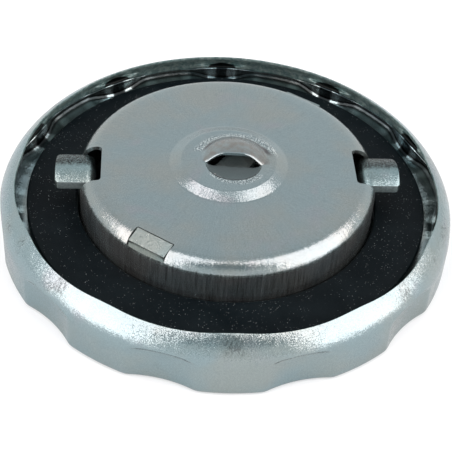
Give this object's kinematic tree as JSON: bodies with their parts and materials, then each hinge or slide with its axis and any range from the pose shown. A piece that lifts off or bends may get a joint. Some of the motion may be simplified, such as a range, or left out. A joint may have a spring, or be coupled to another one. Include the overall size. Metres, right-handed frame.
{
  "type": "vented bayonet fuel filler cap",
  "caption": "Round pressed-steel fuel filler cap with a fluted grip rim, a rubber seal ring and a vented cup with sprung bayonet lugs that closes a tank's filler neck.",
  "frame": {"origin": "centre of the flat outer face, which the cap lies on", "axes": "+Z out of the underside, along the cap's axis into the filler neck; X along the bayonet bar, through both lugs; +Y completes the right-hand frame"},
  "size_m": [0.0902, 0.0898, 0.02],
  "materials": {
    "zinc_shell": "bright zinc plate, satin",
    "zinc_inner": "bright zinc plate, satin",
    "seal_rubber": "satin black",
    "zinc_bridge": "bright zinc plate, satin",
    "spring_steel": "drawn wire",
    "zinc_baffle": "zinc plate, satin",
    "filter_felt": "felt",
    "zinc_bar": "bright zinc plate, satin"
  },
  "bodies": {
    "cap": {"outer_shell": "zinc_shell", "inner_body": "zinc_inner", "gasket": "seal_rubber", "bridge_bar": "zinc_bridge", "lug_spring": "spring_steel", "baffle_plate": "zinc_baffle", "vent_filter": "filter_felt"},
    "bayonet": {"bayonet_bar": "zinc_bar"}
  },
  "joints": [
    {"name": "bayonet_lift", "type": "slide", "parent": "cap", "child": "bayonet", "axis": [0, 0, 1], "range_m": [0, 0.002], "stiffness_N_per_m": 5000, "deforming": ["lug_spring"]}
  ]
}
